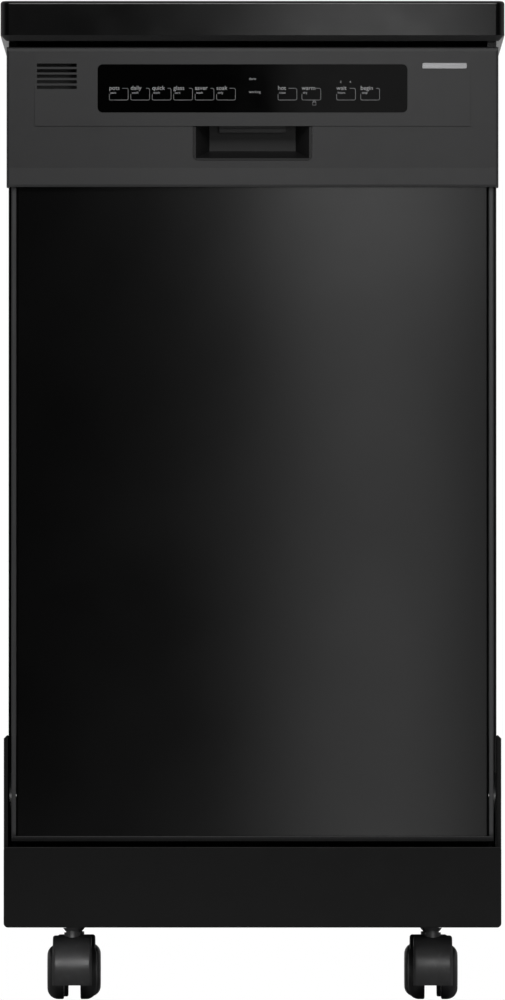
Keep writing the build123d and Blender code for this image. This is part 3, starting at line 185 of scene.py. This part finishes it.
def laminate():
    """Black worktop laminate: pebbled surface with a barely lighter fleck."""
    shader = Shader("laminate", grey(0.012), 0.38)
    shader.vary_color(shader.cells(900), grey(0.03), grey(0.012), grey(0.009), start=0.05, end=0.6)
    shader.vary_roughness(shader.noise(14), 0.34, 0.44)
    return shader.bump(shader.noise(1500, 3), 0.00003, 0.5).material


def console_plastic():
    """Charcoal moulded console: fine spark-eroded grain and a satin sheen."""
    shader = Shader("console_plastic", grey(0.036), 0.46)
    shader.vary_color(shader.noise(5, 2), grey(0.034), grey(0.04))
    shader.vary_roughness(shader.noise(60), 0.42, 0.5)
    return shader.bump(shader.noise(1900, 2), 0.00003, 0.45).material


def window_gloss():
    """Clear-topped black window, nearly without reflection from the front."""
    shader = Shader("window_gloss", grey(0.0014), 0.1, specular_ior_level=0.05)
    return shader.vary_roughness(shader.noise(40), 0.08, 0.14).material


def print_ink():
    """Pale printed lines and words."""
    shader = Shader("print_ink", grey(0.5), 0.5)
    return shader.vary_color(shader.noise(300), grey(0.45), grey(0.6)).material


def badge_metal():
    """Brushed metal of the plain nameplate."""
    shader = Shader("badge_metal", grey(0.4), 0.34, metallic=1.0)
    return shader.vary_roughness(shader.noise(900, 2, (0.02, 1, 1)), 0.24, 0.4).material


def base_plastic():
    """Matte structural plastic with a coarse grain, a little lighter towards the floor."""
    shader = Shader("base_plastic", grey(0.006), 0.5, specular_ior_level=0.3)
    # lighter grey below FLOOR_TONE_Z[0], fading to a darker grey above FLOOR_TONE_Z[1]
    floor_tone = shader.remap(shader.along("Z"), 0.0095, 0.004, *FLOOR_TONE_Z)
    mix = shader.tree.nodes.new("ShaderNodeCombineColor")
    for channel in ("Red", "Green", "Blue"):
        shader.link(floor_tone, mix.inputs[channel])
    shader.link(mix.outputs["Color"], shader.bsdf.inputs["Base Color"])
    shader.vary_roughness(shader.noise(45), 0.46, 0.56)
    return shader.bump(shader.noise(1300, 3), 0.00004, 0.5).material


def shadow_plastic():
    """Near-black plastic, darker than these parts' own colour: painted shade in the finger pocket and on
    the parts behind the front seen through the gaps.
    """
    # painted shade: near-black with a faint random variation
    shader = Shader("shadow_plastic", grey(0.009), 0.5)
    shader.vary_color(shader.noise(25), grey(0.008), grey(0.011))
    return shader.bump(shader.noise(1500, 2), 0.00003, 0.4).material


def stainless(name, stretch, color=0.56):
    """Brushed stainless sheet, its fine scratches running one way."""
    shader = Shader(name, grey(color), 0.3, metallic=1.0)
    scratches = shader.noise(700, 4, stretch)
    shader.vary_color(shader.noise(3, 2), grey(color * 0.94), grey(color * 1.04))
    shader.vary_roughness(scratches, 0.24, 0.4)
    return shader.bump(scratches, 0.000012, 0.5).material


def galvanised():
    """Zinc-coated steel with its spangle."""
    shader = Shader("galvanised", grey(0.5), 0.42, metallic=1.0)
    spangle = shader.cells(110, output="Color")
    shader.vary_color(spangle, grey(0.42), grey(0.6), start=0.1, end=0.9)
    return shader.vary_roughness(spangle, 0.34, 0.5, 0.1, 0.9).material


def coated_wire():
    """Grey nylon dip coating: smooth, a little waxy, slightly uneven."""
    shader = Shader("coated_wire", grey(0.3), 0.38, coat_weight=0.2, coat_roughness=0.3)
    shader.vary_color(shader.noise(70), grey(0.27), grey(0.33))
    return shader.bump(shader.noise(350, 2), 0.00006, 0.4).material


def grey_plastic(name, color):
    """Moulded plastic with a fine grain."""
    shader = Shader(name, grey(color), 0.45)
    shader.vary_color(shader.noise(30), grey(color * 0.93), grey(color * 1.05))
    shader.vary_roughness(shader.noise(90), 0.4, 0.52)
    return shader.bump(shader.noise(1400, 2), 0.00002, 0.4).material


def rubber():
    """Matte black door seal."""
    shader = Shader("rubber", grey(0.03), 0.65)
    shader.vary_color(shader.noise(50), grey(0.024), grey(0.04))
    return shader.bump(shader.noise(900, 3), 0.00003, 0.6).material


def strainer():
    """Fine pierced strainer plastic and mesh."""
    shader = Shader("strainer", grey(0.3), 0.45)
    holes = shader.cells(420)
    shader.vary_color(holes, grey(0.03), grey(0.34), start=0.28, end=0.4)
    return shader.bump(holes, 0.0004, 0.4).material


def circuit_board():
    """Green solder mask with brighter tracks."""
    shader = Shader("circuit_board", (0.01, 0.09, 0.035), 0.35)
    tracks = shader.tree.nodes.new("ShaderNodeTexBrick")
    tracks.inputs["Scale"].default_value = 60
    tracks.inputs["Mortar Size"].default_value = 0.05
    for socket, color in (("Color1", (0.008, 0.08, 0.03)), ("Color2", (0.01, 0.1, 0.035)),
                          ("Mortar", (0.06, 0.3, 0.12))):
        tracks.inputs[socket].default_value = (*color, 1)
    shader.link(shader.coordinates(), tracks.inputs["Vector"])
    shader.link(tracks.outputs["Color"], shader.bsdf.inputs["Base Color"])
    return shader.material


def caster_plastic(name, color):
    """Black nylon of the casters, scuffed paler in patches."""
    shader = Shader(name, grey(color), 0.4)
    shader.vary_color(shader.noise(160, 5), grey(color), grey(color * 1.2), grey(color * 2.6),
                      start=0.4, end=0.85)
    shader.vary_roughness(shader.noise(120), 0.34, 0.5)
    return shader.bump(shader.noise(1200, 3), 0.00003, 0.4).material


def heater_tube():
    """Nickel-alloy tube with straw and blue heat tints."""
    shader = Shader("heater_tube", grey(0.4), 0.3, metallic=1.0)
    shader.vary_color(shader.noise(22), (0.32, 0.27, 0.2), (0.42, 0.4, 0.38), (0.2, 0.23, 0.32))
    return shader.vary_roughness(shader.noise(200), 0.25, 0.4).material


def make_materials():
    return {
        "paint": black_paint(),
        "trim": gloss_trim(),
        "side_trim_highlight": side_trim_highlight(),
        "laminate": laminate(),
        "console": console_plastic(),
        "window": window_gloss(),
        "ink": print_ink(),
        "badge": badge_metal(),
        "base": base_plastic(),
        "shadow": shadow_plastic(),
        "tub": stainless("tub_steel", (1, 1, 0.03)),
        "liner": stainless("liner_steel", (0.03, 1, 1), 0.5),
        "zinc": galvanised(),
        "wire": coated_wire(),
        "plastic": grey_plastic("grey_plastic", 0.26),
        "pale": grey_plastic("pale_plastic", 0.5),
        "dark": grey_plastic("dark_plastic", 0.05),
        "rubber": rubber(),
        "strainer": strainer(),
        "board": circuit_board(),
        "hood": caster_plastic("caster_hood", 0.03),
        "tyre": caster_plastic("caster_tyre", 0.012),
        "heater": heater_tube(),
    }


def dress_nodes(mats):
    """Gives every CAD node that stays visible its material."""
    wear = {
        "laminate": ["worktop_board"],
        "trim": ["worktop_edge_trim"],
        # the side trims' lighter grey is a painted highlight
        "side_trim_highlight": ["door_trims"],
        "paint": ["door_outer_panel", "side_panel_left", "side_panel_right"],
        "zinc": ["back_panel", "latch_strike", "cabinet_screws", "balance_springs"],
        "base": ["base_frame", "toe_kick", "rear_hose_box"],
        "tub": ["tub"],
        "liner": ["inner_door_liner"],
        "console": ["console_fascia", "latch_paddle"],
        "window": ["console_window", *PADS],
        # painted shade: the latch body and the hinge brackets and arms wear the dark shade material so
        # the pocket and the gaps read dark
        "shadow": ["latch_body", "hinge_brackets", "hinge_arms"],
        "plastic": ["lower_spray_arm", "upper_spray_arm", "spray_feed_pipe", "silverware_basket",
                    "dispenser_body", "lower_rack_wheels_front", "lower_rack_wheels_rear",
                    "rail_rollers_front", "rail_rollers_rear"],
        "pale": ["inlet_valve", "dispenser_lid", "rinse_aid_cap"],
        "dark": ["sump", "wash_pump", "drain_pump"],
        "wire": ["lower_rack", "upper_rack"],
        "rubber": ["door_seal"],
        "strainer": ["filter_assembly"],
        "board": ["control_board"],
        "heater": ["heater_element"],
        "hood": [name for name in NODES if name.startswith("caster_housing")],
        "tyre": [name for name in NODES if name.startswith("caster_wheels")],
    }
    for key, names in wear.items():
        for name in names:
            mesh = NODES[name].data
            mesh.materials.clear()
            mesh.materials.append(mats[key])


# ---------------------------------------------------------------- pieces
def finish_piece(obj, material, body):
    """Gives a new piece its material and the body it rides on."""
    obj.data.materials.append(material)
    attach(obj, body)
    return obj


def wires(name, paths, radius):
    """One curve object of round wires, one for each (points, closed) path."""
    data = bpy.data.curves.new(name, "CURVE")
    data.dimensions = "3D"
    data.bevel_depth = radius
    data.bevel_resolution = 3
    data.use_fill_caps = True
    for points, closed in paths:
        spline = data.splines.new("POLY")
        spline.points.add(len(points) - 1)
        for point, place in zip(spline.points, points):
            point.co = (*place, 1)
        spline.use_cyclic_u = closed
    obj = bpy.data.objects.new(name, data)
    bpy.context.scene.collection.objects.link(obj)
    return obj


def rounded(points, radius, closed=False, steps=5):
    """The same path with each corner turned into an arc-like bend."""
    points = [Vector(p) for p in points]
    out = []
    for i, here in enumerate(points):
        if not closed and i in (0, len(points) - 1):
            out.append(here)
            continue
        before, after = points[i - 1], points[(i + 1) % len(points)]
        reach = min(radius, (before - here).length / 2, (after - here).length / 2)
        a = here + (before - here).normalized() * reach
        b = here + (after - here).normalized() * reach
        for step in range(steps + 1):
            t = step / steps
            out.append((1 - t) ** 2 * a + 2 * t * (1 - t) * here + t ** 2 * b)
    return out


def label(text, size, x, y, z):
    """Flat lettering facing the front, its lower left corner at x, z."""
    data = bpy.data.curves.new(f"label_{text}", "FONT")
    data.body = text
    data.size = size
    data.extrude = LETTER_THICKNESS
    obj = bpy.data.objects.new(f"label_{text}", data)
    bpy.context.scene.collection.objects.link(obj)
    obj.matrix_world = Matrix.Translation((x, y, z)) @ Matrix.Rotation(math.pi / 2, 4, "X")
    return obj


def join(name, objects):
    """One mesh object from several curves, texts and meshes, its vertices in the shared frame."""
    bpy.context.view_layer.update()
    depsgraph = bpy.context.evaluated_depsgraph_get()
    bm = bmesh.new()
    for obj in objects:
        mesh = bpy.data.meshes.new_from_object(obj.evaluated_get(depsgraph))
        mesh.transform(obj.matrix_world)
        bm.from_mesh(mesh)
        bpy.data.meshes.remove(mesh)
    for obj in objects:
        bpy.data.objects.remove(obj)
    mesh = bpy.data.meshes.new(name)
    bm.to_mesh(mesh)
    bm.free()
    whole = bpy.data.objects.new(name, mesh)
    bpy.context.scene.collection.objects.link(whole)
    return whole


def pad_print(mats):
    """The printed outline on each touch pad, open at its upper left where the label stands."""
    words = [("pots", "pans"), ("daily", "wash"), ("quick", "wash"), ("glass", "care"),
             ("saver", "wash"), ("soak", "only"), ("hot", "rinse"), ("warm", "dry"),
             ("wait", "hours"), ("begin", "stop")]
    for pad, (first, second) in zip(PADS, words):
        low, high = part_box(pad)
        inset, face = 0.4 * MM, low.y - PRINT_LIFT
        left, right, bottom, top = low.x + inset, high.x - inset, low.z + inset, high.z - inset
        open_x, open_z = left + (2.9 + 2.2 * len(first)) * MM, bottom + 5.4 * MM
        path = [(left, face, open_z), (left, face, bottom), (right, face, bottom), (right, face, top),
                (open_x, face, top)]
        outline = wires(f"{pad}_line", [(rounded(path, 1.6 * MM), False)], PAD_LINE)
        upper = label(first, 5.4 * MM, left - 0.2 * MM, face, top - 1.4 * MM)
        lower = label(second, 3.0 * MM, left + 0.9 * MM, face, top - 4.9 * MM)
        finish_piece(join(f"{pad}_print", [outline, upper, lower]), mats["ink"], pad)


def window_print(mats):
    """Status words, the delay's hours and the key-lock mark, printed on the window."""
    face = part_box("console_window")[0].y - PRINT_LIFT
    pads = {name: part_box(name) for name in PADS}
    top = pads[PADS[0]][1].z
    status_x = (pads[PADS[5]][1].x + pads[PADS[6]][0].x) / 2 - 7.0 * MM
    marks = [label(word, 3.2 * MM, status_x, face, top + up * MM)
             for word, up in (("done", 7.2), ("working", -4.6))]
    delay = pads[PADS[8]][0].x
    marks += [label(hours, 2.9 * MM, delay + (3.4 + 8.6 * i) * MM, face, top + 4.4 * MM)
              for i, hours in enumerate(("2", "4"))]
    lock_x, lock_z = pads[PADS[7]][0].x + 11.6 * MM, pads[PADS[7]][0].z - 1.6 * MM
    body = [(lock_x - 1.5 * MM, face, lock_z), (lock_x + 1.5 * MM, face, lock_z),
            (lock_x + 1.5 * MM, face, lock_z - 2.6 * MM), (lock_x - 1.5 * MM, face, lock_z - 2.6 * MM)]
    shackle = [(lock_x + side * MM, face, lock_z + up * MM)
               for side, up in ((-1, 0), (-1, 1.2), (1, 1.2), (1, 0))]
    marks.append(wires("lock", [(body, True), (rounded(shackle, 0.9 * MM), False)], LOCK_LINE))
    finish_piece(join("window_print", marks), mats["ink"], "door")


def plate(name, x, z, y, corner, bevel):
    """A thin plate facing the front, with rounded corners and a bevelled rim."""
    bm = bmesh.new()
    middle = Vector(((x[0] + x[1]) / 2, 0, (z[0] + z[1]) / 2))
    corners = [(x[0], 0, z[0]), (x[1], 0, z[0]), (x[1], 0, z[1]), (x[0], 0, z[1])]
    outline = rounded(corners, corner, closed=True)
    rings = []
    for depth, shrink in ((y[1], 0), (y[0] + bevel, 0), (y[0], bevel)):
        ring = []
        for point in outline:
            inward = (middle - Vector(point)).normalized() * shrink
            ring.append(bm.verts.new((point[0] + inward.x, depth, point[2] + inward.z)))
        rings.append(ring)
    for near, far in zip(rings, rings[1:]):
        for i in range(len(near)):
            j = (i + 1) % len(near)
            bm.faces.new((near[i], near[j], far[j], far[i]))
    bm.faces.new(rings[-1])
    bm.faces.new(list(reversed(rings[0])))
    bmesh.ops.recalc_face_normals(bm, faces=bm.faces)
    mesh = bpy.data.meshes.new(name)
    bm.to_mesh(mesh)
    bm.free()
    obj = bpy.data.objects.new(name, mesh)
    bpy.context.scene.collection.objects.link(obj)
    return obj


def nameplate(mats):
    """A small plain metal plate at the console's upper right, without any lettering."""
    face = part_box("console_fascia")[0].y
    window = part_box("console_window")[1]
    x = (window.x + 13.5 * MM, window.x + 54.0 * MM)
    z = (window.z - 3.7 * MM, window.z + 1.3 * MM)
    obj = plate("nameplate", x, z, (face + 0.1 * MM, face + 1.0 * MM), 1.2 * MM, 0.3 * MM)
    finish_piece(obj, mats["badge"], "door")


def helix(x, z, y, radius, turns, steps=14):
    """Points of a coil about a line along Y."""
    count = turns * steps
    return [(x + radius * math.cos(2 * math.pi * i / steps), y[0] + (y[1] - y[0]) * i / count,
             z + radius * math.sin(2 * math.pi * i / steps)) for i in range(count + 1)]


def balance_springs(mats):
    """Wound springs with end loops and cables, one each side, in place of the plain grooved rods."""
    low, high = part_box("balance_springs")
    z = (low.z + high.z) / 2
    paths = []
    for x in (low.x + 4.9 * MM, high.x - 4.9 * MM):
        coil = (low.y + 54 * MM, high.y - 28 * MM)
        paths.append((helix(x, z, coil, COIL_R, COIL_TURNS), False))
        paths.append(([(x, low.y + 1 * MM, z), (x, coil[0], z), (x + COIL_R, coil[0], z)], False))
        paths.append(([(x + COIL_R, coil[1], z), (x, coil[1], z), (x, high.y - 1 * MM, z)], False))
    springs = wires("spring_wire", paths, SPRING_WIRE)
    hooks = []
    for side in (-1, 1):
        left = low.x if side < 0 else high.x - 9 * MM
        hooks.append(plate(f"anchor_{side}", (left + 0.4 * MM, left + 8.6 * MM),
                           (low.z + 0.2 * MM, high.z - 0.2 * MM), (high.y - 4 * MM, high.y - 0.2 * MM),
                           2 * MM, 0.4 * MM))
    whole = join("wound_springs", [springs, *hooks])
    obj = finish_piece(whole, mats["zinc"], "cabinet")
    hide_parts("balance_springs")


# ---------------------------------------------------------------- studio
def area_light(name, place, target, size, power, spread=180.0):
    """A rectangular softbox at place, turned towards target and hidden from the camera."""
    data = bpy.data.lights.new(name, "AREA")
    data.spread = math.radians(spread)
    data.shape = "RECTANGLE"
    data.size, data.size_y = size
    data.energy = power
    obj = bpy.data.objects.new(name, data)
    bpy.context.scene.collection.objects.link(obj)
    obj.location = place
    obj.rotation_euler = (Vector(target) - Vector(place)).to_track_quat("-Z", "Y").to_euler()
    obj.visible_camera = False


def room():
    """White to the camera; to everything else dark in front and brighter towards the back."""
    world = bpy.data.worlds.new("studio")
    bpy.context.scene.world = world
    world.use_nodes = True
    tree = world.node_tree
    path = tree.nodes.new("ShaderNodeLightPath")
    background = tree.nodes["Background"]
    backdrop = tree.nodes.new("ShaderNodeBackground")
    mix = tree.nodes.new("ShaderNodeMixShader")
    place = tree.nodes.new("ShaderNodeTexCoord")
    split = tree.nodes.new("ShaderNodeSeparateXYZ")
    facing = tree.nodes.new("ShaderNodeMapRange")
    facing.interpolation_type = "SMOOTHSTEP"
    for socket, value in zip(("From Min", "From Max", "To Min", "To Max"), (-0.8, 0.1, 0.004, 0.4)):
        facing.inputs[socket].default_value = value
    tree.links.new(place.outputs["Generated"], split.inputs["Vector"])
    tree.links.new(split.outputs["Y"], facing.inputs["Value"])
    tree.links.new(facing.outputs["Result"], background.inputs["Strength"])
    background.inputs["Color"].default_value = WHITE
    backdrop.inputs["Color"].default_value = WHITE
    backdrop.inputs["Strength"].default_value = 1.0
    tree.links.new(path.outputs["Is Camera Ray"], mix.inputs["Fac"])
    tree.links.new(background.outputs["Background"], mix.inputs[1])
    tree.links.new(backdrop.outputs["Background"], mix.inputs[2])
    tree.links.new(mix.outputs["Shader"], tree.nodes["World Output"].inputs["Surface"])


def studio():
    """Pale floor, two tall softboxes in front, one above and a faint light on each front caster."""
    bpy.ops.mesh.primitive_plane_add(size=FLOOR_SIZE)
    floor = bpy.context.object
    floor.name = "studio_floor"
    shader = Shader("studio_floor", (0.86, 0.86, 0.86), 0.7)
    shader.vary_roughness(shader.noise(4), 0.65, 0.75)
    floor.data.materials.append(shader.material)
    floor.visible_camera = False

    area_light("softbox_right", (0.12, LIGHT_Y, 0.28), (0.12, 0, 0.28), (0.17, 0.8), 0.55)
    area_light("softbox_high", (0.115, LIGHT_Y, 0.84), (0.115, 0, 0.84), (0.18, 0.32), 0.42)
    for side, power in ((-1, 0.0055), (1, 0.003)):
        x = side * CASTER_X
        area_light(f"caster_light_{side}", (x, -0.31, 0.056), (x, -0.26, 0.042),
                   (0.05, 0.012), power, 90)
    area_light("softbox_top", (0.05, -1.4, 1.5), (0, 0, 0.6), (0.8, 0.4), 7)


def camera():
    """Long lens held low and aimed at the middle of the front, framing the machine's outline."""
    target = Vector(((cad_low.x + cad_high.x) / 2, cad_low.y, (cad_low.z + cad_high.z) / 2))
    data = bpy.data.cameras.new("camera")
    data.sensor_width = SENSOR_WIDTH
    data.lens = SENSOR_WIDTH * (LENS_DISTANCE + cad_low.y) / (cad_high.z - cad_low.z) * FRAMING
    data.clip_end = 60
    obj = bpy.data.objects.new("camera", data)
    bpy.context.scene.collection.objects.link(obj)
    obj.location = (target.x, -LENS_DISTANCE, CAMERA_Z)
    obj.rotation_euler = (target - obj.location).to_track_quat("-Z", "Y").to_euler()
    bpy.context.scene.camera = obj


bpy.context.scene.view_settings.view_transform = "Standard"
materials = make_materials()
dress_nodes(materials)
pad_print(materials)
window_print(materials)
nameplate(materials)
balance_springs(materials)
room()
studio()
camera()
